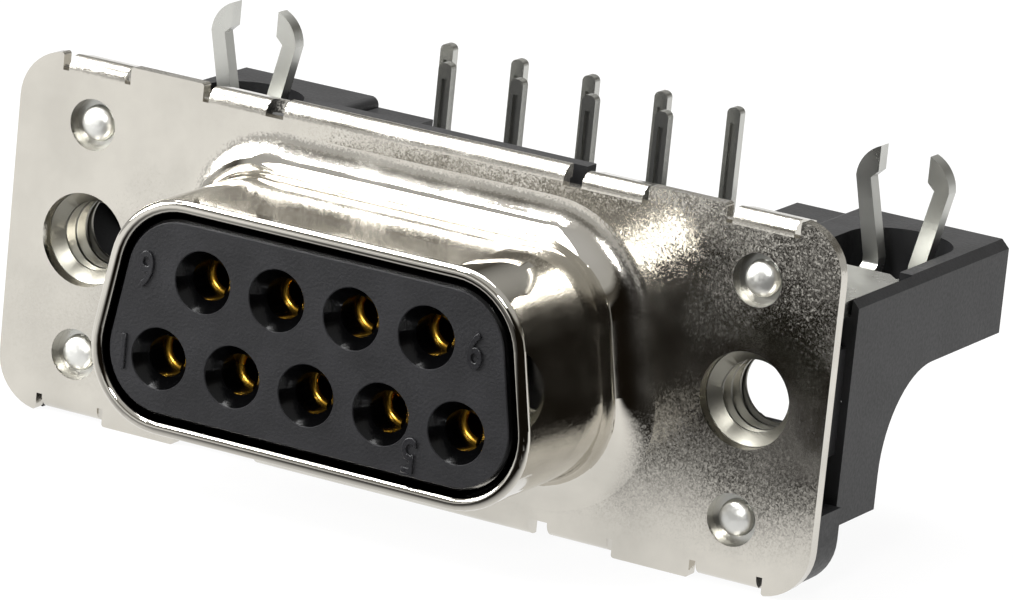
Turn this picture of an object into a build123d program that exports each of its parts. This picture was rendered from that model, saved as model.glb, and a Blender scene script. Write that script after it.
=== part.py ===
# Nine-way D-shaped socket connector with right-angle board tails.
# It stands with its board side up, as it lies before it is turned over and pressed
# into a circuit board. X runs along the flange to the right, Y runs away from the
# mating mouth and Z runs up towards the board. The origin is on the front face of
# the flange, midway between the two screw holes. All sizes are in millimetres.

from build123d import *
import os
from math import atan, cos, degrees, radians, tan

os.makedirs("parts", exist_ok=True)

# Contact pattern: four contacts in the upper row and five in the lower one
contact_pitch = 2.77
row_gap = 2.84
upper_count = 4
lower_count = 5

# Board footprint, measured back from the front face of the flange
lock_y = 10.3
tail_middle_y = 10.1
tail_row_gap = 2.54
board_z = 3.4
tail_length = 3.0

# Drawn steel shell
sheet = 0.45
screw_spacing = 24.99
screw_clearance = 3.2
flange_width = screw_spacing + 5.82
flange_height = 12.4
flange_corner = 1.75
rivet_spacing = flange_height - 4.46
rivet_recess = 1.75
shell_height = 7.9
shell_mid_width = 15.97
shell_tilt = 10.0
shell_corner = 2.7
shell_reach = 6.17
shell_base_radius = 1.25
rim_radius = 0.2

# Folded edges of the flange: two pairs of tabs and a long lip, above and below
tab_width = 2.2
inner_tab_x = 7.03
tab_relief = 0.22
tab_top = flange_height / 2 - 0.1
tab_run = 0.95
tab_droop = 12.0
fold_radius = 0.5
lip_half_width = 5.25
lip_run = 0.12
lip_top = flange_height / 2
notch_radius = 0.1

# Front insulator
insulator_gap = 0.2
face_recess = 0.08
face_chamfer = 0.12
insulator_plate_depth = 1.05
insulator_plate_half_width = shell_mid_width / 2 + 1.615
insulator_plate_half_height = flange_height / 2 - 0.95
insulator_plate_corner = 0.8
funnel_mouth = 2.09
funnel_throat = 1.36
funnel_depth = 0.53
cavity_clearance = 0.05

# Contacts
socket_outside = 1.65
socket_bore = 1.02
socket_bore_depth = 4.2
socket_setback = 1.7
socket_slit = 0.14
socket_slit_length = 3.0
tail_width = 0.5
tail_thickness = 0.36
tail_bend = 0.4
tail_tip_radius = 0.22
tail_groove_width = 0.2
tail_groove_depth = 0.1
tail_groove_start = 0.55
tail_clearance = 0.1

# Ground strap with its two board-lock prongs
strap_thickness = 0.55
strap_half_width = 2.2
leg_bottom = flange_height / 2 - 1.0
riser_half_width = 1.1
riser_top = flange_height / 2 - 1.1
riser_corner = 0.4
window_clearance = 0.1
window_rear = 2.9
strap_bend = 0.25
strap_wing_end = 6.4
strap_wing_corner = 0.6
strap_drop = 0.05
joggle_drop = 0.95
joggle_length = 1.1
prong_outside = 1.12
prong_inside = 0.55
prong_start = 0.35
kink_outside = 1.7
kink_inside = 1.16
kink_height = 2.0
hook_inside = 0.9
hook_bottom = 2.25
hook_top = 3.12
hook_radius = 1.25
prong_slot_reach = 0.95

# Threaded insert and rivets
thread_minor = 2.27
insert_flats = 3.8
insert_length = 1.5
insert_chamfer = 0.28
insert_clearance = 0.06
rivet_shank = 1.15
rivet_end_chamfer = 0.2
rivet_setback = 0.05
rivet_head = 1.9
rivet_head_height = 0.4
rivet_clearance = 0.04

# Bracket
bracket_half_width = flange_width / 2 - 0.4
skirt_half_width = flange_width / 2 - 0.1
skirt_rear = 2.1
skirt_top = -3.35
skirt_bottom = 0.85 - flange_height / 2
wall_bottom = -4.15
pillar_rear = 5.25
pillar_inner = 9.3
middle_wall_rear = 4.0
middle_tab_half_width = 5.3
middle_tab_top = flange_height / 2 - 0.25
shoulder_front = 2.4
shoulder_width = 0.8
plate_clearance = 0.06
ear_rear = 13.55
ear_bottom = 0.22
ear_inner = 7.1
web_radius = 3.2
ear_step_drop = 0.35
ear_step_radius = 0.3
ear_chamfer = 0.28
comb_top = 2.2
comb_bottom = 0.9
comb_rear = 12.6
pocket_radius = 1.8
pocket_front = 5.5
pocket_floor = 1.2
strap_side_clearance = 0.06
strap_end_clearance = 0.3

# Places worked out from the sizes above
screw_x = screw_spacing / 2
plate_front = sheet
strap_back = plate_front + strap_thickness
plate_back = plate_front + insulator_plate_depth
face_y = face_recess - shell_reach
socket_front = face_y + socket_setback
upper_z = row_gap / 2
lower_z = -row_gap / 2
near_tail_y = tail_middle_y - tail_row_gap / 2
far_tail_y = tail_middle_y + tail_row_gap / 2
tail_tip = board_z + tail_length
strap_top = board_z - strap_drop


def across(y):
    """Plane parallel to the flange at depth y, facing the front."""
    return Plane.XZ.offset(-y)


def row(count, z):
    """Centres of one row of contacts, from the left."""
    return [((i - (count - 1) / 2) * contact_pitch, z) for i in range(count)]


def d_outline(inset):
    """D-shaped face with its wide side down, inset from the outside of the shell."""
    half_height = shell_height / 2 - inset
    mid_half = shell_mid_width / 2 - inset / cos(radians(shell_tilt))
    spread = half_height * tan(radians(shell_tilt))
    with BuildSketch() as face:
        Polygon(
            (-mid_half - spread, -half_height),
            (mid_half + spread, -half_height),
            (mid_half - spread, half_height),
            (spread - mid_half, half_height),
            align=None,
        )
        fillet(face.vertices(), shell_corner - inset)
    return face.sketch


def folded_section(top, run, droop):
    """Section of a flange edge folded back, with its outside at height top."""
    bend_line = top - fold_radius
    with BuildSketch() as section:
        with BuildLine():
            bend = CenterArc((fold_radius, bend_line), fold_radius, 180, -90 - droop)
            PolarLine(bend @ 1, run, -droop)
            offset(amount=sheet, side=Side.RIGHT)
        make_face()
    return section.sketch


def on_d_wall(edge):
    """True for an edge that lies on the D-shaped wall rather than on the flange's rim."""
    middle = edge.center()
    return abs(middle.X) < shell_mid_width / 2 + 1 and abs(middle.Z) < shell_height / 2 + 0.1


upper_row = row(upper_count, upper_z)
lower_row = row(lower_count, lower_z)
contact_spots = lower_row + upper_row
screw_spots = [(-screw_x, 0), (screw_x, 0)]
rivet_spots = [(x, z) for x in (-screw_x, screw_x) for z in (-rivet_spacing / 2, rivet_spacing / 2)]

# Front shell: one drawn sheet, with the flange, the D-shaped mouth and the folded edges
relief_outer = inner_tab_x + tab_width / 2 + tab_relief
relief_width = tab_width + 2 * tab_relief
relief_depth = flange_height / 2 - tab_top + fold_radius
shell_outside = d_outline(0)
shell_inside = d_outline(sheet)
tab_section = folded_section(tab_top, tab_run, tab_droop)
lip_section = folded_section(lip_top, lip_run, 0)

with BuildPart() as front_shell:
    with BuildSketch(Plane.XZ) as blank:
        RectangleRounded(flange_width, flange_height, flange_corner)
        with Locations((0, flange_height / 2), (0, -flange_height / 2)):
            Rectangle(2 * relief_outer, 2 * relief_depth, mode=Mode.SUBTRACT)
        with GridLocations(screw_spacing, flange_height, 2, 2):
            Rectangle(relief_width, 2 * relief_depth, mode=Mode.SUBTRACT)
        outer_points = blank.vertices().filter_by(
            lambda v: abs(abs(v.Y) - flange_height / 2) < 0.01 and abs(v.X) < screw_x + relief_width
            and abs(abs(v.X) - flange_width / 2 + flange_corner) > 0.01
        )
        fillet(outer_points, notch_radius)
    extrude(amount=-sheet)
    for tab_x in (inner_tab_x, screw_x):
        with BuildSketch(Plane.YZ.offset(tab_x - tab_width / 2)):
            add(tab_section)
        extrude(amount=tab_width)
    with BuildSketch(Plane.YZ):
        add(lip_section)
    extrude(amount=lip_half_width)
    with BuildSketch(Plane.XZ):
        lip_root = flange_height / 2 - relief_depth
        with Locations((0, lip_root)):
            Rectangle(lip_half_width, lip_top - fold_radius - lip_root, align=(Align.MIN, Align.MIN))
    extrude(amount=-sheet)
    mirror(about=Plane.YZ)
    mirror(about=Plane.XY)
    with BuildSketch(Plane.XZ):
        add(shell_outside)
    extrude(amount=shell_reach)
    fillet(front_shell.edges().filter_by(Plane.XZ).filter_by_position(Axis.Y, -0.01, 0.01)
           .filter_by(on_d_wall), shell_base_radius)
    with BuildSketch(across(sheet)):
        add(shell_inside)
    extrude(amount=shell_reach + sheet, mode=Mode.SUBTRACT)
    fillet(front_shell.edges().filter_by(Plane.XZ).filter_by_position(Axis.Y, sheet - 0.01, sheet + 0.01)
           .filter_by(on_d_wall), shell_base_radius + sheet)
    fillet(front_shell.edges().group_by(Axis.Y)[0], rim_radius)
    with BuildSketch(Plane.XZ):
        with Locations(*screw_spots):
            Circle(screw_clearance / 2)
        with Locations(*rivet_spots):
            Circle(rivet_recess / 2)
    extrude(amount=-sheet, mode=Mode.SUBTRACT)

# Front insulator: moulded block in the mouth, with a plate behind the flange
block_outline = d_outline(sheet + insulator_gap)
funnel_angle = degrees(2 * atan((funnel_mouth - funnel_throat) / 2 / funnel_depth))

with BuildPart() as front_insulator:
    with BuildSketch(across(plate_front)):
        add(block_outline)
    extrude(amount=plate_front - face_y)
    chamfer(front_insulator.edges().group_by(Axis.Y)[0], face_chamfer)
    with BuildSketch(across(plate_front)):
        RectangleRounded(2 * insulator_plate_half_width, 2 * insulator_plate_half_height, insulator_plate_corner)
    extrude(amount=-insulator_plate_depth)
    with Locations(across(face_y)):
        with Locations(*contact_spots):
            CounterSinkHole(funnel_throat / 2, funnel_mouth / 2, counter_sink_angle=funnel_angle)
    with BuildSketch(across(plate_back)):
        with Locations(*contact_spots):
            Circle(socket_outside / 2 + cavity_clearance)
    extrude(amount=plate_back - socket_front + cavity_clearance, mode=Mode.SUBTRACT)

# Contacts: a slit socket that narrows to a flat tail, bent up through the board
contact_parts = []
contact_rows = [(x, z, far_tail_y) for x, z in lower_row] + [(x, z, near_tail_y) for x, z in upper_row]
for number, (x, z, tail_y) in enumerate(contact_rows, start=1):
    with BuildPart() as contact:
        with BuildSketch(across(plate_back)):
            with Locations((x, z)):
                Circle(socket_outside / 2)
        extrude(amount=plate_back - socket_front)
        with BuildSketch(across(socket_front + socket_bore_depth)):
            with Locations((x, z)):
                Circle(socket_bore / 2)
        extrude(amount=socket_bore_depth, mode=Mode.SUBTRACT)
        with BuildSketch(across(socket_front + socket_slit_length)):
            with Locations((x, z)):
                Rectangle(socket_slit, socket_outside)
        extrude(amount=socket_slit_length, mode=Mode.SUBTRACT)
        with BuildSketch(Plane.YZ.offset(x - tail_width / 2)):
            with BuildLine():
                front_side = tail_y - tail_thickness / 2
                top_side = z + tail_thickness / 2
                FilletPolyline(
                    (plate_back, top_side), (front_side, top_side), (front_side, tail_tip), radius=tail_bend
                )
                offset(amount=tail_thickness, side=Side.RIGHT)
            make_face()
        extrude(amount=tail_width)
        fillet(contact.edges().filter_by(Axis.Y).filter_by_position(Axis.Z, tail_tip - 0.01, tail_tip + 0.01),
               tail_tip_radius)
        with BuildSketch(across(front_side)):
            with Locations((x, tail_tip - tail_groove_start)):
                Rectangle(tail_groove_width, tail_tip - tail_groove_start - comb_top,
                          align=(Align.CENTER, Align.MAX))
        extrude(amount=-tail_groove_depth, mode=Mode.SUBTRACT)
    contact.part.label = f"contact_{number}"
    contact_parts.append(contact.part)

# Ground strap: leg behind the flange, wing on the bracket, and a tongue with two prongs
tongue_top = strap_top - joggle_drop
tongue_bottom = tongue_top - strap_thickness
prong_front = lock_y - strap_thickness / 2
prong_root = tongue_top + prong_start
joggle_start = strap_wing_end - joggle_length / 2
outer_bend = strap_bend + strap_thickness
wing_bottom = strap_top - strap_thickness


def prong_outline():
    """One prong of the board lock, on the right of the lock's centre line."""
    with BuildSketch() as outline:
        with BuildLine():
            side = Polyline(
                (kink_outside, board_z + kink_height),
                (prong_outside, prong_root),
                (prong_inside, prong_root),
                (kink_inside, board_z + kink_height),
                (hook_inside, board_z + hook_bottom),
                (hook_inside, board_z + hook_top),
            )
            RadiusArc(side @ 1, side @ 0, hook_radius)
        make_face()
    return outline.sketch


prong = prong_outline()

with BuildPart() as ground_strap:
    with BuildSketch(Plane.YZ.offset(screw_x - strap_half_width)):
        with BuildLine():
            FilletPolyline(
                (plate_front, -leg_bottom), (plate_front, strap_top), (strap_wing_end, strap_top),
                radius=outer_bend,
            )
            offset(amount=strap_thickness, side=Side.RIGHT)
        make_face()
    extrude(amount=2 * strap_half_width)
    fillet(ground_strap.edges().filter_by(Axis.Y).group_by(Axis.Z)[0], strap_wing_corner)
    with BuildSketch(across(plate_front)):
        with Locations((screw_x, 0)):
            Rectangle(2 * riser_half_width, riser_top, align=(Align.CENTER, Align.MIN))
    extrude(amount=-strap_thickness)
    fillet(ground_strap.edges().filter_by(Axis.Y).group_by(Axis.Z)[-1], riser_corner)
    with BuildSketch(Plane.XY.offset(wing_bottom)):
        with Locations((screw_x, strap_back)):
            Rectangle(2 * (riser_half_width + window_clearance), window_rear - strap_back,
                      align=(Align.CENTER, Align.MIN))
    extrude(amount=strap_thickness, mode=Mode.SUBTRACT)
    wing_corners = ground_strap.edges().filter_by(Axis.Z).filter_by_position(
        Axis.Y, strap_wing_end - 0.01, strap_wing_end + 0.01)
    chamfer(wing_corners, strap_wing_corner)
    with BuildSketch(Plane.YZ.offset(screw_x - prong_outside)):
        with BuildLine():
            FilletPolyline(
                (joggle_start, strap_top), (joggle_start + joggle_length, tongue_top),
                (prong_front, tongue_top), (prong_front, prong_root),
                radius=strap_bend,
            )
            offset(amount=strap_thickness, side=Side.RIGHT)
        make_face()
    extrude(amount=2 * prong_outside)
    with BuildSketch(Plane.XY.offset(tongue_bottom)):
        with Locations((screw_x, prong_front - prong_slot_reach + prong_inside)):
            Circle(prong_inside)
            Rectangle(2 * prong_inside, 2 * prong_slot_reach, align=(Align.CENTER, Align.MIN))
    extrude(amount=strap_top - tongue_bottom, mode=Mode.SUBTRACT)
    with BuildSketch(across(prong_front)):
        with Locations((screw_x, 0)):
            add(prong)
            add(mirror(prong, about=Plane.YZ, mode=Mode.PRIVATE))
    extrude(amount=-strap_thickness)
    with BuildSketch(across(plate_front)):
        with Locations((screw_x, 0)):
            Circle(screw_clearance / 2)
        with Locations(*rivet_spots):
            Circle(rivet_shank / 2 + rivet_clearance)
    extrude(amount=-strap_thickness, mode=Mode.SUBTRACT)

# Threaded insert: six-sided, seated behind the strap's leg
with BuildPart() as threaded_insert:
    with BuildSketch(across(strap_back)):
        with Locations((screw_x, 0)):
            RegularPolygon(insert_flats / 2, 6, major_radius=False)
            Circle(thread_minor / 2, mode=Mode.SUBTRACT)
    extrude(amount=-insert_length)
    bore_rims = threaded_insert.edges().filter_by(GeomType.CIRCLE)
    chamfer(bore_rims, insert_chamfer)

# Rivet: straight shank through the leg, with a low head behind it
rivets = {}
for level, z in (("lower", -rivet_spacing / 2), ("upper", rivet_spacing / 2)):
    with BuildPart() as rivet:
        with BuildSketch(across(rivet_setback)):
            with Locations((screw_x, z)):
                Circle(rivet_shank / 2)
        extrude(amount=rivet_setback - strap_back)
        chamfer(rivet.edges().group_by(Axis.Y)[0], rivet_end_chamfer)
        with BuildSketch(across(strap_back)):
            with Locations((screw_x, z)):
                Circle(rivet_head / 2)
        extrude(amount=-rivet_head_height)
        chamfer(rivet.edges().group_by(Axis.Y)[-1], rivet_end_chamfer)
    rivets[level] = rivet.part

# Bracket: one moulding with a skirt, a wall, two ears and a comb for the tails
relief_edge = screw_x + relief_width / 2
insert_pocket = insert_flats / 2 + insert_clearance
insert_rear = strap_back + insert_length

with BuildPart() as bracket:
    with BuildSketch(across(plate_front)):
        RectangleRounded(2 * skirt_half_width, flange_height, flange_corner)
        with Locations((0, skirt_top)):
            Rectangle(2 * flange_width, flange_height, align=(Align.CENTER, Align.MIN), mode=Mode.SUBTRACT)
        with Locations((0, skirt_bottom)):
            Rectangle(2 * relief_edge, flange_height, align=(Align.CENTER, Align.MAX), mode=Mode.SUBTRACT)
    extrude(amount=plate_front - skirt_rear)
    with BuildSketch(across(strap_back)):
        with Locations((0, wall_bottom)):
            Rectangle(2 * (bracket_half_width - shoulder_width), board_z - ear_step_drop - wall_bottom,
                      align=(Align.CENTER, Align.MIN))
    extrude(amount=strap_back - middle_wall_rear)
    with BuildSketch(across(plate_back)):
        Rectangle(2 * middle_tab_half_width, middle_tab_top, align=(Align.CENTER, Align.MIN))
    extrude(amount=plate_back - skirt_rear)
    split(bisect_by=Plane.YZ)
    with BuildSketch(across(strap_back)):
        with Locations((pillar_inner, wall_bottom)):
            Rectangle(bracket_half_width - shoulder_width - pillar_inner, board_z - wall_bottom,
                      align=(Align.MIN, Align.MIN))
    extrude(amount=strap_back - pillar_rear)
    with BuildSketch(across(shoulder_front)):
        with Locations((pillar_inner, wall_bottom)):
            Rectangle(bracket_half_width - pillar_inner, board_z - wall_bottom, align=(Align.MIN, Align.MIN))
    extrude(amount=shoulder_front - pillar_rear)
    with BuildSketch(Plane.XY.offset(ear_bottom)):
        with Locations((ear_inner, shoulder_front)):
            Rectangle(bracket_half_width - ear_inner, ear_rear - shoulder_front, align=(Align.MIN, Align.MIN))
    extrude(amount=board_z - ear_step_drop - ear_bottom)
    with BuildSketch(across(shoulder_front)):
        with BuildLine():
            ear_low = board_z - ear_step_drop
            Polyline((pillar_inner, ear_low), (bracket_half_width, ear_low), (bracket_half_width, board_z),
                     (pillar_inner, board_z), (pillar_inner, ear_low))
        ear_top = make_face()
        fillet(ear_top.vertices().sort_by(Axis.X)[:2].sort_by(Axis.Y)[-1], ear_step_radius)
    extrude(amount=shoulder_front - ear_rear)
    with BuildSketch(Plane.YZ.offset(bracket_half_width - shoulder_width)):
        with BuildLine():
            web = Polyline(
                (pillar_rear + web_radius, ear_bottom), (ear_rear, ear_bottom), (ear_rear, board_z),
                (shoulder_front, board_z), (shoulder_front, wall_bottom), (pillar_rear, wall_bottom),
                (pillar_rear, ear_bottom - web_radius),
            )
            RadiusArc(web @ 1, web @ 0, web_radius)
        make_face()
    extrude(amount=shoulder_width)
    outer_top = bracket.edges().filter_by(Axis.Y).filter_by_position(
        Axis.X, bracket_half_width - 0.01, bracket_half_width + 0.01).sort_by(Axis.Z)[-1]
    chamfer(outer_top, ear_chamfer)
    with BuildSketch(across(strap_back)):
        with Locations((screw_x, 0)):
            RegularPolygon(insert_pocket, 6, major_radius=False)
    extrude(amount=strap_back - pillar_rear, mode=Mode.SUBTRACT)
    with BuildSketch(across(insert_rear)):
        with Locations((pillar_inner, 0)):
            Rectangle(screw_x - pillar_inner, 2 * insert_pocket, align=(Align.MIN, Align.CENTER))
    extrude(amount=insert_rear - pillar_rear, mode=Mode.SUBTRACT)
    with BuildSketch(across(plate_front)):
        with Locations((screw_x, -leg_bottom - strap_side_clearance)):
            Rectangle(2 * (strap_half_width + strap_side_clearance), 2 * leg_bottom,
                      align=(Align.CENTER, Align.MIN))
    extrude(amount=-strap_thickness, mode=Mode.SUBTRACT)
    with BuildSketch(across(strap_back)):
        with Locations((screw_x, -rivet_spacing / 2)):
            Circle(rivet_head / 2 + rivet_clearance)
    extrude(amount=-rivet_head_height - rivet_clearance, mode=Mode.SUBTRACT)
    with BuildSketch(Plane.XY.offset(wing_bottom)):
        with Locations((screw_x, plate_front)):
            Rectangle(2 * (strap_half_width + strap_side_clearance),
                      strap_wing_end + strap_end_clearance - plate_front, align=(Align.CENTER, Align.MIN))
    extrude(amount=board_z - wing_bottom, mode=Mode.SUBTRACT)
    with BuildSketch(Plane.XY.offset(pocket_floor)):
        with Locations((screw_x, lock_y)):
            Circle(pocket_radius)
            Rectangle(2 * pocket_radius, lock_y - pocket_front, align=(Align.CENTER, Align.MAX))
    extrude(amount=board_z - pocket_floor, mode=Mode.SUBTRACT)
    strap_corner = bracket.edges().filter_by(Axis.X).filter_by_position(
        Axis.Y, strap_back - 0.01, strap_back + 0.01).filter_by_position(
        Axis.Z, wing_bottom - 0.01, wing_bottom + 0.01)
    fillet(strap_corner, strap_bend + strap_side_clearance)
    with BuildSketch(Plane.XY.offset(comb_bottom)):
        with Locations((0, middle_wall_rear)):
            Rectangle(ear_inner, comb_rear - middle_wall_rear, align=(Align.MIN, Align.MIN))
    extrude(amount=comb_top - comb_bottom)
    mirror(about=Plane.YZ)
    with BuildSketch(across(plate_front)):
        Rectangle(2 * (insulator_plate_half_width + plate_clearance),
                  2 * (insulator_plate_half_height + plate_clearance))
    extrude(amount=-insulator_plate_depth, mode=Mode.SUBTRACT)
    with BuildSketch(across(plate_back)):
        with Locations(*contact_spots):
            Rectangle(tail_width + 2 * tail_clearance, tail_thickness + 2 * tail_clearance)
    extrude(amount=plate_back - middle_wall_rear, mode=Mode.SUBTRACT)
    with BuildSketch(Plane.XY.offset(comb_bottom)):
        with Locations(*[(x, far_tail_y) for x, z in lower_row]):
            Rectangle(tail_width + 2 * tail_clearance, tail_thickness + 2 * tail_clearance)
        with Locations(*[(x, near_tail_y + tail_thickness / 2 + tail_clearance) for x, z in upper_row]):
            Rectangle(tail_width + 2 * tail_clearance, tail_thickness + 2 * tail_clearance + tail_bend,
                      align=(Align.CENTER, Align.MAX))
    extrude(amount=comb_top - comb_bottom, mode=Mode.SUBTRACT)
    with BuildSketch(Plane.XY.offset(comb_bottom)):
        with Locations(*[(x, middle_wall_rear) for x, z in upper_row]):
            Rectangle(tail_width + 2 * tail_clearance, near_tail_y - middle_wall_rear,
                      align=(Align.CENTER, Align.MIN))
    extrude(amount=upper_z + tail_thickness / 2 + tail_clearance - comb_bottom, mode=Mode.SUBTRACT)

front_shell.part.label = "front_shell"
front_insulator.part.label = "front_insulator"
bracket.part.label = "bracket"
pieces = [front_shell.part, front_insulator.part, bracket.part] + contact_parts
for side in ("right", "left"):
    handed = [("ground_strap", ground_strap.part), ("threaded_insert", threaded_insert.part),
              ("rivet_upper", rivets["upper"]), ("rivet_lower", rivets["lower"])]
    for name, piece in handed:
        placed = piece if side == "right" else mirror(piece, about=Plane.YZ)
        placed.label = f"{name}_{side}"
        pieces.append(placed)

for piece in pieces:
    export_step(piece, f"parts/{piece.label}.step")
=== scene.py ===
# Nine-way D-shaped socket connector with right-angle board tails, shown board side up.

import bpy
from math import pi, radians, sqrt
from mathutils import Matrix, Vector


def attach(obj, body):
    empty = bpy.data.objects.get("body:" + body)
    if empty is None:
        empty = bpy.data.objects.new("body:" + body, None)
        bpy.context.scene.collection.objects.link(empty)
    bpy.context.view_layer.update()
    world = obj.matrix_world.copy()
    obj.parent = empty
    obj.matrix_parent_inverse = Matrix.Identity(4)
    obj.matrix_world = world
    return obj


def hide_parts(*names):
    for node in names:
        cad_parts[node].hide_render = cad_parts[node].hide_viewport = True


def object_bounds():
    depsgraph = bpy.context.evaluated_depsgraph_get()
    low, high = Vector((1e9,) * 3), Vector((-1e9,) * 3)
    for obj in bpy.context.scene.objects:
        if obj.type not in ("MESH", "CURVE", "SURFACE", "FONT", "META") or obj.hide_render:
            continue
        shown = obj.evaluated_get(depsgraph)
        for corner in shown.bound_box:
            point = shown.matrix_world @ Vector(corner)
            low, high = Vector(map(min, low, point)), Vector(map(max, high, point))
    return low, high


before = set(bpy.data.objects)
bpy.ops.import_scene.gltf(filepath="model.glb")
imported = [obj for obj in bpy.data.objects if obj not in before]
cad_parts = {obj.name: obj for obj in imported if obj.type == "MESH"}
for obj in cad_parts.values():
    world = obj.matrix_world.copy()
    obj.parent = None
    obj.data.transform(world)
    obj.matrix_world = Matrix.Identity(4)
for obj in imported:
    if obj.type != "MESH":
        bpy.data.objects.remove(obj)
cad_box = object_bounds()
bpy.ops.object.select_all(action="DESELECT")

# Camera: a long lens, some way off to the right and a little above the flange.
# The photograph leans clockwise, so the camera is rolled the other way.
mm = 0.001
camera_place = Vector((105.25, -191.75, 59.03)) * mm
camera_azimuth = 27.92
camera_drop = 14.87
camera_roll = 5.74
camera_lens = 247.4
camera_sensor = 36
nearest_seen = 10 * mm
camera_data = bpy.data.cameras.new("camera")
camera_data.sensor_width = camera_sensor
camera_data.lens = camera_lens
camera_data.clip_start = nearest_seen
camera = bpy.data.objects.new("camera", camera_data)
bpy.context.scene.collection.objects.link(camera)
camera.matrix_world = (
    Matrix.Translation(camera_place)
    @ Matrix.Rotation(radians(camera_azimuth), 4, "Z")
    @ Matrix.Rotation(radians(90 - camera_drop), 4, "X")
    @ Matrix.Rotation(radians(camera_roll), 4, "Z")
)
bpy.context.scene.camera = camera
bpy.context.scene.view_settings.view_transform = "Standard"


# Table: a white sweep that the camera sees as plain white.
# A small share of its own paint stays in view and keeps the connector's contact shadow.
def linear(hex_colour):
    """An sRGB hex colour as the linear colour that the shaders take."""
    parts = [int(hex_colour[i:i + 2], 16) / 255 for i in (1, 3, 5)]
    return [c / 12.92 if c <= 0.04045 else ((c + 0.055) / 1.055) ** 2.4 for c in parts] + [1]


def add_node(tree, kind, settings=(), inputs=(), links=()):
    """Adds one node with its settings, its unlinked inputs and its links, and returns it."""
    node = tree.nodes.new(kind)
    for name, value in dict(settings).items():
        setattr(node, name, value)
    for name, value in dict(inputs).items():
        node.inputs[name].default_value = value
    for name, output in dict(links).items():
        tree.links.new(output, node.inputs[name])
    return node


def empty_material(name):
    """A new material with its node tree cleared."""
    material = bpy.data.materials.new(name)
    material.use_nodes = True
    material.node_tree.nodes.clear()
    return material


table_colour = "#E9E8E6"
table_size = 900 * mm
table_height = cad_box[0][2]
shadow_share = 0.06
bpy.ops.mesh.primitive_plane_add(size=table_size, location=(0, 0, table_height))
table = bpy.context.object
table.name = "table"
table_paint = empty_material("table_paint")
tree = table_paint.node_tree
path = add_node(tree, "ShaderNodeLightPath")
seen = add_node(tree, "ShaderNodeMath", {"operation": "MAXIMUM"},
                links={0: path.outputs["Is Camera Ray"], 1: path.outputs["Is Glossy Ray"]})
share = add_node(tree, "ShaderNodeMath", {"operation": "MULTIPLY"}, inputs={1: 1 - shadow_share},
                 links={0: seen.outputs["Value"]})
paint = add_node(tree, "ShaderNodeBsdfDiffuse", inputs={"Color": linear(table_colour)})
glow = add_node(tree, "ShaderNodeEmission", inputs={"Color": (1, 1, 1, 1), "Strength": 1})
mixed = add_node(tree, "ShaderNodeMixShader",
                 links={0: share.outputs["Value"], 1: paint.outputs["BSDF"], 2: glow.outputs["Emission"]})
add_node(tree, "ShaderNodeOutputMaterial", links={"Surface": mixed.outputs["Shader"]})
table.data.materials.append(table_paint)

# Room: a pale tent that lights everything softly from all round, with a grey band low on its wall.
# The metal mirrors it, and the camera sees plain white in its place.
room_strength = 0.62
room_shades = [(0, "#E8E8E6"), (0.22, "#F0EFEC"), (0.3, "#8C8880"), (0.42, "#6A665F"), (0.55, "#EDECE8"),
               (1, "#FFFFFF")]
world = bpy.data.worlds.new("soft_room")
bpy.context.scene.world = world
world.use_nodes = True
tree = world.node_tree
tree.nodes.clear()
path = add_node(tree, "ShaderNodeLightPath")
seen = add_node(tree, "ShaderNodeMath", {"operation": "MAXIMUM"},
                links={0: path.outputs["Is Camera Ray"], 1: path.outputs["Is Transmission Ray"]})
place = add_node(tree, "ShaderNodeTexCoord")
height = add_node(tree, "ShaderNodeSeparateXYZ", links={0: place.outputs["Generated"]})
shade = add_node(tree, "ShaderNodeValToRGB", links={"Fac": height.outputs["Z"]})
for level, colour in room_shades[1:-1]:
    shade.color_ramp.elements.new(level)
for stop, (level, colour) in zip(shade.color_ramp.elements, room_shades):
    stop.position = level
    stop.color = linear(colour)
room = add_node(tree, "ShaderNodeBackground", inputs={"Strength": room_strength},
                links={"Color": shade.outputs["Color"]})
white = add_node(tree, "ShaderNodeBackground", inputs={"Color": (1, 1, 1, 1), "Strength": 1})
mixed = add_node(tree, "ShaderNodeMixShader",
                 links={0: seen.outputs["Value"], 1: room.outputs["Background"], 2: white.outputs["Background"]})
add_node(tree, "ShaderNodeOutputWorld", links={"Surface": mixed.outputs["Shader"]})

# Soft boxes: a large one above and behind, a square one on the left, a pair of strips and one by the lens.
# They make the blown highlights on the folded edges and the bands on the drawn shell.
# Each has its place, width and height in mm and its power in watts.
soft_boxes = (
    ("top_box", (-60, 60, 260), 260, 180, 1.7),
    ("left_box", (-260, -160, 120), 160, 160, 1.6),
    ("front_strip_left", (-150, -150, 230), 18, 90, 0.35),
    ("front_strip_right", (-95, -175, 230), 18, 90, 0.35),
    ("lens_box", (60, -250, 130), 40, 40, 0.4),
)
for name, place, width, height, power in soft_boxes:
    lamp = bpy.data.lights.new(name, "AREA")
    lamp.shape = "RECTANGLE"
    lamp.size = width * mm
    lamp.size_y = height * mm
    lamp.energy = power
    box = bpy.data.objects.new(name, lamp)
    bpy.context.scene.collection.objects.link(box)
    box.location = [step * mm for step in place]
    box.rotation_euler = (-box.location).to_track_quat("-Z", "Y").to_euler()


# Dark felt: lies on the table to the front and right, and hangs there below the lens.
# The flange's right half and the shell's right wall mirror it, and the camera doesn't see it.
def soft_edge(tree, value, start, end):
    """0 before start and 1 past end, with a smooth change."""
    return add_node(tree, "ShaderNodeMapRange", {"interpolation_type": "SMOOTHSTEP"},
                    inputs={"From Min": start, "From Max": end}, links={"Value": value})


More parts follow.
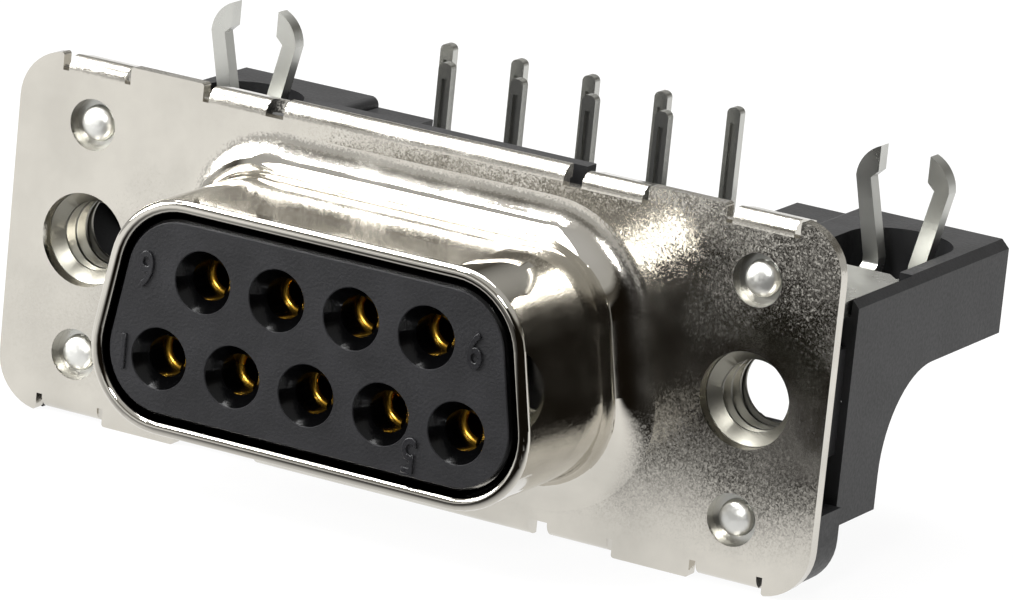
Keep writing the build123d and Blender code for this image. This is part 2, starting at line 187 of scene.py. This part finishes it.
def dark_felt(name, corner, width, height, turn, soft_side, soft_top):
    """Black felt that only mirrors show, with soft left and upper edges; corner is its upper left one."""
    bpy.ops.mesh.primitive_plane_add(size=1)
    cloth = bpy.context.object
    cloth.name = name
    for vertex in cloth.data.vertices:
        vertex.co = ((vertex.co.x + 0.5) * width, (vertex.co.y - 0.5) * height, 0)
    cloth.location = corner
    cloth.rotation_euler = turn
    cloth.visible_camera = False
    cloth.visible_diffuse = False
    cloth.visible_shadow = False
    cloth.visible_transmission = False
    felt = empty_material(name)
    tree = felt.node_tree
    place = add_node(tree, "ShaderNodeTexCoord")
    parts = add_node(tree, "ShaderNodeSeparateXYZ", links={0: place.outputs["Object"]})
    side = soft_edge(tree, parts.outputs["X"], 0, soft_side)
    top = soft_edge(tree, parts.outputs["Y"], 0, -soft_top)
    cover = add_node(tree, "ShaderNodeMath", {"operation": "MULTIPLY"},
                     links={0: side.outputs["Result"], 1: top.outputs["Result"]})
    black = add_node(tree, "ShaderNodeEmission", inputs={"Color": linear(felt_colour), "Strength": 1})
    clear = add_node(tree, "ShaderNodeBsdfTransparent")
    mixed = add_node(tree, "ShaderNodeMixShader",
                     links={0: cover.outputs["Value"], 1: clear.outputs["BSDF"], 2: black.outputs["Emission"]})
    add_node(tree, "ShaderNodeOutputMaterial", links={"Surface": mixed.outputs["Shader"]})
    cloth.data.materials.append(felt)


felt_colour = "#16120D"
felt_thickness = 0.1 * mm
dark_felt("table_felt", corner=(-24 * mm, -2 * mm, table_height + felt_thickness), width=300 * mm,
          height=200 * mm, turn=(0, 0, 0), soft_side=20 * mm, soft_top=14 * mm)
dark_felt("hanging_felt", corner=(-10 * mm, -150 * mm, 60 * mm), width=260 * mm,
          height=70 * mm, turn=(radians(90), 0, radians(38)), soft_side=30 * mm, soft_top=25 * mm)


# Bracket: one black glass-filled polyester moulding with two ears and a comb between them.
# The mould's spark-eroded skin gives it a fine even grain and a satin sheen.
def dress(node_name, material):
    """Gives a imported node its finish."""
    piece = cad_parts[node_name]
    piece.data.materials.clear()
    piece.data.materials.append(material)


def along_y(tree, place, start, end):
    """0 in front of start and 1 behind end, along the connector's depth."""
    parts = add_node(tree, "ShaderNodeSeparateXYZ", links={0: place.outputs["Object"]})
    return soft_edge(tree, parts.outputs["Y"], start, end)


def moulded_plastic(name, colour, roughness, grain_size, grain_depth, skin_depth=None):
    """Black moulded plastic. Behind skin_depth, where one is given, the mould was polished, and the colour is
    darkened as painted shade.
    """
    patch_size = 1.6 * mm
    darkest_patch = 0.78
    lightest_patch = 1.28
    gloss_spread = 0.06
    grain_strength = 0.5
    polyester_ior = 1.46
    dusty_gloss = 0.27
    material = empty_material(name)
    tree = material.node_tree
    place = add_node(tree, "ShaderNodeTexCoord")
    grain = add_node(tree, "ShaderNodeTexNoise", inputs={"Scale": 1 / grain_size, "Detail": 2},
                     links={"Vector": place.outputs["Object"]})
    patches = add_node(tree, "ShaderNodeTexNoise", inputs={"Scale": 1 / patch_size, "Detail": 3},
                       links={"Vector": place.outputs["Object"]})
    shade = add_node(tree, "ShaderNodeMapRange",
                     inputs={"From Min": 0.3, "From Max": 0.7, "To Min": darkest_patch, "To Max": lightest_patch},
                     links={"Value": patches.outputs["Fac"]})
    tint = add_node(tree, "ShaderNodeVectorMath", {"operation": "SCALE"}, inputs={0: linear(colour)[:3]},
                    links={"Scale": shade.outputs["Result"]})
    gloss = add_node(tree, "ShaderNodeMapRange",
                     inputs={"From Min": 0.3, "From Max": 0.7, "To Min": roughness - gloss_spread,
                             "To Max": roughness + gloss_spread},
                     links={"Value": grain.outputs["Fac"]})
    bump = add_node(tree, "ShaderNodeBump", inputs={"Strength": grain_strength, "Distance": grain_depth},
                    links={"Height": grain.outputs["Fac"]})
    shader = add_node(tree, "ShaderNodeBsdfPrincipled",
                      inputs={"IOR": polyester_ior, "Specular IOR Level": dusty_gloss},
                      links={"Base Color": tint.outputs["Vector"], "Roughness": gloss.outputs["Result"],
                             "Normal": bump.outputs["Normal"]})
    if skin_depth is not None:
        polished_roughness = 0.16
        painted_shade_share = 0.1
        polished_grain = 0.1
        inside = along_y(tree, place, skin_depth - 0.01 * mm, skin_depth + 0.02 * mm)
        # Behind the skin, the colour is darkened to a tenth as painted shade in the funnels and cavities.
        painted_shade = add_node(tree, "ShaderNodeMapRange", inputs={"To Min": 1, "To Max": painted_shade_share},
                          links={"Value": inside.outputs["Result"]})
        shaded_tint = add_node(tree, "ShaderNodeVectorMath", {"operation": "SCALE"},
                        links={0: tint.outputs["Vector"], "Scale": painted_shade.outputs["Result"]})
        polish = add_node(tree, "ShaderNodeMix", inputs={"B": polished_roughness},
                          links={"Factor": inside.outputs["Result"], "A": gloss.outputs["Result"]})
        flat = add_node(tree, "ShaderNodeMapRange", inputs={"To Min": grain_strength, "To Max": polished_grain},
                        links={"Value": inside.outputs["Result"]})
        tree.links.new(shaded_tint.outputs["Vector"], shader.inputs["Base Color"])
        tree.links.new(polish.outputs["Result"], shader.inputs["Roughness"])
        tree.links.new(flat.outputs["Result"], bump.inputs["Strength"])
    add_node(tree, "ShaderNodeOutputMaterial", links={"Surface": shader.outputs["BSDF"]})
    return material


# The eroded mould's pits are nearer 0.03 mm wide; they are drawn as coarse as they need to show.
bracket_plastic = moulded_plastic("black_moulded_polyester", "#1C1C1D", roughness=0.42, grain_size=0.12 * mm,
                                  grain_depth=0.006 * mm)
dress("bracket", bracket_plastic)


# Pillar sides: the bracket's pillars are closed outside the threaded nuts.
# A thin wall, moulded in one with the bracket in the same plastic, lies in each nut's pocket there.
def select_only(*pieces):
    """Selects these pieces and nothing else; the last one is active."""
    bpy.ops.object.select_all(action="DESELECT")
    for piece in pieces:
        piece.select_set(True)
    bpy.context.view_layer.objects.active = pieces[-1]


def apply_place(piece):
    """Moves a piece's place and turn into its mesh, and leaves its origin at the frame's."""
    select_only(piece)
    bpy.ops.object.transform_apply(location=True, rotation=True, scale=True)


def settle(piece, name, slot, material, *nodes):
    """Names and dresses a finished piece, and ties it to the frame."""
    piece.name = name
    piece.data.name = name
    piece.data.materials.clear()
    piece.data.materials.append(material)
    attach(piece, "root")
    if nodes:
        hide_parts(*nodes)


wall_x = 14.46 * mm
wall_y = 1.75 * mm
wall_thickness = 0.52 * mm
wall_depth = 1.5 * mm
wall_height = 3.6 * mm
wall_rounding = 0.05 * mm
for side, x in (("left", -wall_x), ("right", wall_x)):
    bpy.ops.object.select_all(action="DESELECT")
    bpy.ops.mesh.primitive_cube_add(size=1, location=(x, wall_y, 0), scale=(wall_thickness, wall_depth, wall_height))
    wall = bpy.context.object
    apply_place(wall)
    rounding = wall.modifiers.new("rounding", "BEVEL")
    rounding.width = wall_rounding
    rounding.segments = 2
    bpy.ops.object.modifier_apply(modifier=rounding.name)
    settle(wall, f"pillar_side_{side}", "bracket", bracket_plastic)


# Ground straps: stamped brass strips, matt tin plated, folded over the bracket.
# Each ends in two hooked prongs that lock in the board, sheared with a rough edge.
def plated_metal(name, colour, roughness, speck_size, speck_depth, stain, flake_tilt=0.02, waviness=0.0,
                 smooth_until=None, tail_colour=None, tail_start=0.0, tail_roughness=0.4):
    """Plated sheet. Specks and faint staining come from the rolled metal under the plating.

    flake_tilt leans the metal's grains each their own way, and waviness leans whole areas.
    In front of smooth_until, where one is given, drawing has polished the specks away.
    Behind tail_start, where tail_colour is given, the plating is another metal.
    """
    # Rolled sheet has grains of about 0.02 mm; they are drawn as coarse as they need to show.
    flake_size = 0.05 * mm
    cloud_size = 2.5 * mm
    wave_size = 4 * mm
    blend_length = 0.2 * mm
    speck_strength = 0.6
    gloss_below = 0.05
    gloss_above = 0.06
    drawn_gloss = 0.12
    material = empty_material(name)
    tree = material.node_tree
    place = add_node(tree, "ShaderNodeTexCoord")
    specks = add_node(tree, "ShaderNodeTexNoise", inputs={"Scale": 1 / speck_size, "Detail": 1, "Roughness": 0.6},
                      links={"Vector": place.outputs["Object"]})
    clouds = add_node(tree, "ShaderNodeTexNoise", inputs={"Scale": 1 / cloud_size, "Detail": 4},
                      links={"Vector": place.outputs["Object"]})
    gloss = add_node(tree, "ShaderNodeMapRange",
                     inputs={"From Min": 0.35, "From Max": 0.65, "To Min": roughness - gloss_below,
                             "To Max": roughness + gloss_above},
                     links={"Value": clouds.outputs["Fac"]})
    shade = add_node(tree, "ShaderNodeMapRange",
                     inputs={"From Min": 0.35, "From Max": 0.7, "To Min": 1, "To Max": 1 - stain},
                     links={"Value": clouds.outputs["Fac"]})
    tint = add_node(tree, "ShaderNodeVectorMath", {"operation": "SCALE"}, inputs={0: linear(colour)[:3]},
                    links={"Scale": shade.outputs["Result"]})
    bump = add_node(tree, "ShaderNodeBump", inputs={"Strength": speck_strength, "Distance": speck_depth},
                    links={"Height": specks.outputs["Fac"]})
    flakes = add_node(tree, "ShaderNodeTexVoronoi", inputs={"Scale": 1 / flake_size},
                      links={"Vector": place.outputs["Object"]})
    waves = add_node(tree, "ShaderNodeTexNoise", inputs={"Scale": 1 / wave_size, "Detail": 1},
                     links={"Vector": place.outputs["Object"]})
    tilt = add_node(tree, "ShaderNodeVectorMath", {"operation": "MULTIPLY_ADD"},
                    inputs={1: (flake_tilt,) * 3, 2: (-flake_tilt / 2,) * 3}, links={0: flakes.outputs["Color"]})
    buckle = add_node(tree, "ShaderNodeVectorMath", {"operation": "MULTIPLY_ADD"},
                      inputs={1: (waviness,) * 3, 2: (-waviness / 2,) * 3}, links={0: waves.outputs["Color"]})
    both_tilts = add_node(tree, "ShaderNodeVectorMath", {"operation": "ADD"},
                          links={0: tilt.outputs["Vector"], 1: buckle.outputs["Vector"]})
    eased = add_node(tree, "ShaderNodeVectorMath", {"operation": "SCALE"}, inputs={"Scale": 1},
                     links={0: both_tilts.outputs["Vector"]})
    leaning = add_node(tree, "ShaderNodeVectorMath", {"operation": "ADD"},
                       links={0: bump.outputs["Normal"], 1: eased.outputs["Vector"]})
    facing = add_node(tree, "ShaderNodeVectorMath", {"operation": "NORMALIZE"}, links={0: leaning.outputs["Vector"]})
    shader = add_node(tree, "ShaderNodeBsdfPrincipled", inputs={"Metallic": 1},
                      links={"Base Color": tint.outputs["Vector"], "Roughness": gloss.outputs["Result"],
                             "Normal": facing.outputs["Vector"]})
    if smooth_until is not None:
        rough = along_y(tree, place, smooth_until - blend_length, smooth_until + blend_length)
        grip = add_node(tree, "ShaderNodeMapRange", inputs={"To Min": 0.0, "To Max": speck_strength},
                        links={"Value": rough.outputs["Result"]})
        soft = add_node(tree, "ShaderNodeMapRange", inputs={"To Min": -drawn_gloss, "To Max": 0},
                        links={"Value": rough.outputs["Result"]})
        total = add_node(tree, "ShaderNodeMath", {"operation": "ADD"},
                         links={0: gloss.outputs["Result"], 1: soft.outputs["Result"]})
        tree.links.new(rough.outputs["Result"], eased.inputs["Scale"])
        tree.links.new(grip.outputs["Result"], bump.inputs["Strength"])
        tree.links.new(total.outputs["Value"], shader.inputs["Roughness"])
    if tail_colour is not None:
        tail = along_y(tree, place, tail_start, tail_start + blend_length)
        tail_tint = add_node(tree, "ShaderNodeVectorMath", {"operation": "SCALE"},
                             inputs={0: linear(tail_colour)[:3]}, links={"Scale": shade.outputs["Result"]})
        both = add_node(tree, "ShaderNodeMix", {"data_type": "VECTOR"},
                        links={"Factor": tail.outputs["Result"], "A": tint.outputs["Vector"],
                               "B": tail_tint.outputs["Vector"]})
        dull = add_node(tree, "ShaderNodeMix", inputs={"B": tail_roughness},
                        links={"Factor": tail.outputs["Result"], "A": gloss.outputs["Result"]})
        tree.links.new(both.outputs["Result"], shader.inputs["Base Color"])
        tree.links.new(dull.outputs["Result"], shader.inputs["Roughness"])
    add_node(tree, "ShaderNodeOutputMaterial", links={"Surface": shader.outputs["BSDF"]})
    return material


# Matt tin plate mirrors the room as soft pale greys, with a faint stain.
matt_tin = plated_metal("matt_tin_plate", "#BFBFBA", roughness=0.3, speck_size=0.12 * mm, speck_depth=0.004 * mm,
                        stain=0.16)
for side in ("left", "right"):
    dress(f"ground_strap_{side}", matt_tin)


# Threaded inserts: turned steel nuts with a collar in the strap's hole, nickel plated.
# The lead-in runs down to a number 4-40 thread, 40 turns to the inch.
def turned(sides, radius, front, rear, rear_radius=None):
    """A cylinder or cone along the connector's depth, from front to rear."""
    bpy.ops.object.select_all(action="DESELECT")
    bpy.ops.mesh.primitive_cone_add(
        vertices=sides, radius1=radius, radius2=radius if rear_radius is None else rear_radius,
        depth=rear - front, location=(0, (front + rear) / 2, 0), rotation=(-pi / 2, 0, 0))
    piece = bpy.context.object
    apply_place(piece)
    return piece


def combine(piece, tool, operation):
    """Joins or cuts piece with tool, and removes the tool."""
    cut = piece.modifiers.new("cut", "BOOLEAN")
    cut.operation = operation
    cut.solver = "EXACT"
    cut.object = tool
    select_only(piece)
    bpy.ops.object.modifier_apply(modifier=cut.name)
    bpy.data.objects.remove(tool)


def soften(piece, width, angle=40.0):
    """Rounds the sharp edges a little and smooths what curves."""
    bevel = piece.modifiers.new("bevel", "BEVEL")
    bevel.width = width
    bevel.segments = 2
    bevel.limit_method = "ANGLE"
    bevel.angle_limit = radians(angle)
    select_only(piece)
    bpy.ops.object.modifier_apply(modifier=bevel.name)
    bpy.ops.object.shade_smooth_by_angle(angle=radians(35))


def copy_to(piece, place):
    """A copy with its own mesh, moved to place."""
    copy = piece.copy()
    copy.data = piece.data.copy()
    bpy.context.scene.collection.objects.link(copy)
    copy.location = place
    apply_place(copy)
    return copy


screw_x = 12.495 * mm
nut_flats = 3.3 * mm
nut_front = 1.0 * mm
nut_rear = 2.5 * mm
nut_edge = 0.04 * mm
collar_front = 0.46 * mm
collar_radius = 1.59 * mm
collar_bite = 0.2 * mm
lead_end = 0.8 * mm
thread_root = 1.42 * mm
thread_crest = 1.19 * mm
thread_pitch = 0.635 * mm
first_crest = 0.06 * mm
last_crest = 0.12 * mm
cut_margin = 0.1 * mm
around = 72
insert = turned(6, nut_flats / sqrt(3), nut_front, nut_rear)
combine(insert, turned(around, collar_radius, collar_front, nut_front + collar_bite), "UNION")
combine(insert, turned(around, thread_root, lead_end + first_crest, nut_rear - last_crest), "DIFFERENCE")
combine(insert, turned(around, collar_radius, collar_front - 0.01 * mm, lead_end, thread_crest), "DIFFERENCE")
combine(insert, turned(around, thread_crest, lead_end - cut_margin, nut_rear + cut_margin), "DIFFERENCE")

# The thread's ridge is a helix with a flat crest. It runs out in the first and last crests.
ridge_foot = thread_root + 0.03 * mm
ridge_foot_half = 0.3
ridge_crest_half = 0.06
ridge_turns = 6
ridge_steps = 60
ridge_start = lead_end - 1.5 * thread_pitch
ridge_front = lead_end + 0.03 * mm
ridge_rear = nut_rear - 0.06 * mm
ridge_profile = [(ridge_foot, -ridge_foot_half), (ridge_foot, ridge_foot_half), (thread_crest, -ridge_crest_half),
                 (thread_crest, ridge_crest_half)]
bpy.ops.object.select_all(action="DESELECT")
bpy.ops.mesh.primitive_plane_add(size=1)
ridge = bpy.context.object
for vertex, (radius, step) in zip(ridge.data.vertices, ridge_profile):
    vertex.co = (radius, ridge_start + step * mm, 0)
select_only(ridge)
bpy.ops.object.mode_set(mode="EDIT")
bpy.ops.mesh.select_all(action="SELECT")
bpy.ops.mesh.delete(type="ONLY_FACE")
bpy.ops.object.mode_set(mode="OBJECT")
helix = ridge.modifiers.new("helix", "SCREW")
helix.axis = "Y"
helix.screw_offset = thread_pitch
helix.iterations = ridge_turns
helix.steps = ridge_steps
helix.render_steps = ridge_steps
bpy.ops.object.modifier_apply(modifier=helix.name)
for level, kept_way in ((ridge_front, 1), (ridge_rear, -1)):
    bpy.ops.object.mode_set(mode="EDIT")
    bpy.ops.mesh.select_all(action="SELECT")
    bpy.ops.mesh.bisect(plane_co=(0, level, 0), plane_no=(0, kept_way, 0), clear_inner=True)
    bpy.ops.object.mode_set(mode="OBJECT")
bpy.ops.object.mode_set(mode="EDIT")
bpy.ops.mesh.select_all(action="SELECT")
bpy.ops.mesh.normals_make_consistent(inside=False)
bpy.ops.object.mode_set(mode="OBJECT")
bpy.ops.object.shade_smooth_by_angle(angle=radians(35))
soften(insert, nut_edge)
select_only(ridge, insert)
bpy.ops.object.join()

# Nickel on turned steel is duller than on the drawn shell, and its colour is darkened as painted shade in the screw
# holes.
nickel_nut_painted_shade = plated_metal("nickel_plated_steel_painted_shade", "#8A887F", roughness=0.38, speck_size=0.1 * mm,
                          speck_depth=0.002 * mm, stain=0.14)
for side, x in (("left", -screw_x), ("right", screw_x)):
    settle(copy_to(insert, (x, 0, 0)), f"threaded_nut_{side}", "threaded_insert", nickel_nut_painted_shade,
           f"threaded_insert_{side}")
bpy.data.objects.remove(insert)

# Rivets: aluminium pins through bracket, strap and flange, upset from behind.
# Their front ends stand domed in the flange's round recesses.
rivet_z = 3.97 * mm
rivet_front = 0.05 * mm
rivet_head_front = 1.0 * mm
rivet_rear = 1.4 * mm
rivet_edge = 0.03 * mm
shank_radius = 0.6 * mm
shank_bite = 0.1 * mm
head_radius = 0.95 * mm
dome_share = 0.5
dome_middle = rivet_front + dome_share * shank_radius
rivet = turned(48, shank_radius, dome_middle, rivet_head_front + shank_bite)
combine(rivet, turned(48, head_radius, rivet_head_front, rivet_rear), "UNION")
bpy.ops.object.select_all(action="DESELECT")
bpy.ops.mesh.primitive_uv_sphere_add(segments=48, ring_count=24, radius=shank_radius, rotation=(pi / 2, 0, 0),
                                     location=(0, dome_middle, 0), scale=(1, 1, dome_share))
dome = bpy.context.object
apply_place(dome)
combine(rivet, dome, "UNION")
soften(rivet, rivet_edge, 60.0)

# Upset aluminium is pale and soft in its gloss, and its shallow dents break up the highlight.
bright_aluminium = plated_metal("upset_aluminium", "#DCDCD8", roughness=0.4, speck_size=0.35 * mm,
                                speck_depth=0.05 * mm, stain=0.1, flake_tilt=0.08)
for level, z in (("upper", rivet_z), ("lower", -rivet_z)):
    for side, x in (("left", -screw_x), ("right", screw_x)):
        settle(copy_to(rivet, (x, 0, z)), f"domed_rivet_{level}_{side}", "rivet", bright_aluminium,
               f"rivet_{level}_{side}")
bpy.data.objects.remove(rivet)

# Contacts: stamped copper alloy, gold at the socket and matt tin from the insulator's back on.
# Each socket's mouth is rolled to a round gold nose, split above and below by the slit.
contact_pitch = 2.77 * mm
row_z = 1.42 * mm
socket_mouth = -4.39 * mm
nose_radius = 0.667 * mm
nose_wall = 0.157 * mm
slit_width = 0.14 * mm
slit_depth = 2 * mm
slit_height = 4 * mm

# The gold inside the cavities is darkened to brown as painted shade for the dark cavities; the tin tail is silver
# grey.
contact_metal_painted_shade = plated_metal("gold_painted_shade_then_tin_plate", "#3C280B", roughness=0.3, speck_size=0.2 * mm,
                             speck_depth=0.003 * mm, stain=0.08, tail_colour="#BEBEB9", tail_start=1.3 * mm,
                             tail_roughness=0.26)
for number in range(1, 10):
    dress(f"contact_{number}", contact_metal_painted_shade)
bpy.ops.object.select_all(action="DESELECT")
bpy.ops.mesh.primitive_torus_add(major_radius=nose_radius, minor_radius=nose_wall, major_segments=64,
                                 minor_segments=20, location=(0, socket_mouth, 0), rotation=(pi / 2, 0, 0))
nose = bpy.context.object
apply_place(nose)
bpy.ops.mesh.primitive_cube_add(size=1, location=(0, socket_mouth, 0), scale=(slit_width, slit_depth, slit_height))
slit = bpy.context.object
apply_place(slit)
combine(nose, slit, "DIFFERENCE")
select_only(nose)
bpy.ops.object.shade_smooth_by_angle(angle=radians(50))

# Gold plate on a burnished nose is deep yellow, with small sharp highlights.
gold_nose = plated_metal("gold_plate", "#F3BC48", roughness=0.28, speck_size=0.12 * mm, speck_depth=0.004 * mm,
                         stain=0.06)
spots = [((step - 2) * contact_pitch, -row_z) for step in range(5)]
spots += [((step - 1.5) * contact_pitch, row_z) for step in range(4)]
for number, (x, z) in enumerate(spots, start=1):
    settle(copy_to(nose, (x, 0, z)), f"socket_nose_{number}", "contact", gold_nose)
bpy.data.objects.remove(nose)

# Front insulator: black polyester block in the shell's mouth, matt on its face.
# The funnels and the cavities behind them come glossy from polished mould pins, and their colour is darkened as
# painted shade.
insulator_face = -6.09 * mm
skin_thickness = 0.03 * mm
face_plastic = moulded_plastic("black_matt_face", "#151517", roughness=0.5, grain_size=0.1 * mm,
                               grain_depth=0.03 * mm, skin_depth=insulator_face + skin_thickness)
dress("front_insulator", face_plastic)

# Contact numbers: raised 0.08 mm on the insulator's face, moulded with it in the same plastic.
# Only the ends of the rows are numbered. They stand upside down, as the board side is up here.
number_rise = 0.08 * mm
number_height = 1.15 * mm
number_edge = 0.035 * mm
capital_share = 0.7
number_squeeze = 0.72
number_places = (("1", -6.87, -1.42), ("5", 3.94, -2.5), ("6", -6.27, 1.45), ("9", 5.96, 1.4))

# Figures engraved in the mould are smoother than its eroded skin, so they come out a little glossier.
number_plastic = moulded_plastic("black_raised_numbers", "#171719", roughness=0.3, grain_size=0.12 * mm,
                                 grain_depth=0.004 * mm)
for figure, x, z in number_places:
    bpy.ops.object.select_all(action="DESELECT")
    bpy.ops.object.text_add()
    text = bpy.context.object
    text.data.body = figure
    text.data.size = number_height / capital_share
    text.data.extrude = number_rise / 2
    text.data.bevel_depth = number_edge
    text.data.bevel_resolution = 1
    bpy.ops.object.convert(target="MESH")
    mark = bpy.context.object
    bpy.ops.object.origin_set(type="ORIGIN_GEOMETRY", center="BOUNDS")
    mark.location = (x * mm, insulator_face - number_rise / 2 + number_edge, z * mm)
    mark.rotation_euler = (pi / 2, pi, 0)
    mark.scale = (number_squeeze, 1, 1)
    apply_place(mark)
    settle(mark, f"raised_number_{figure}", "insulator", number_plastic)

# Front shell: drawn steel in bright nickel, its flange folded back above and below.
# The flange keeps the rolled sheet's grain, and drawing has polished the D-shaped wall.
drawn_nickel = plated_metal("bright_nickel_plate", "#D2CEC5", roughness=0.17, speck_size=0.3 * mm,
                            speck_depth=0.006 * mm, stain=0.13, flake_tilt=0.07, waviness=0.11,
                            smooth_until=-0.2 * mm)
dress("front_shell", drawn_nickel)
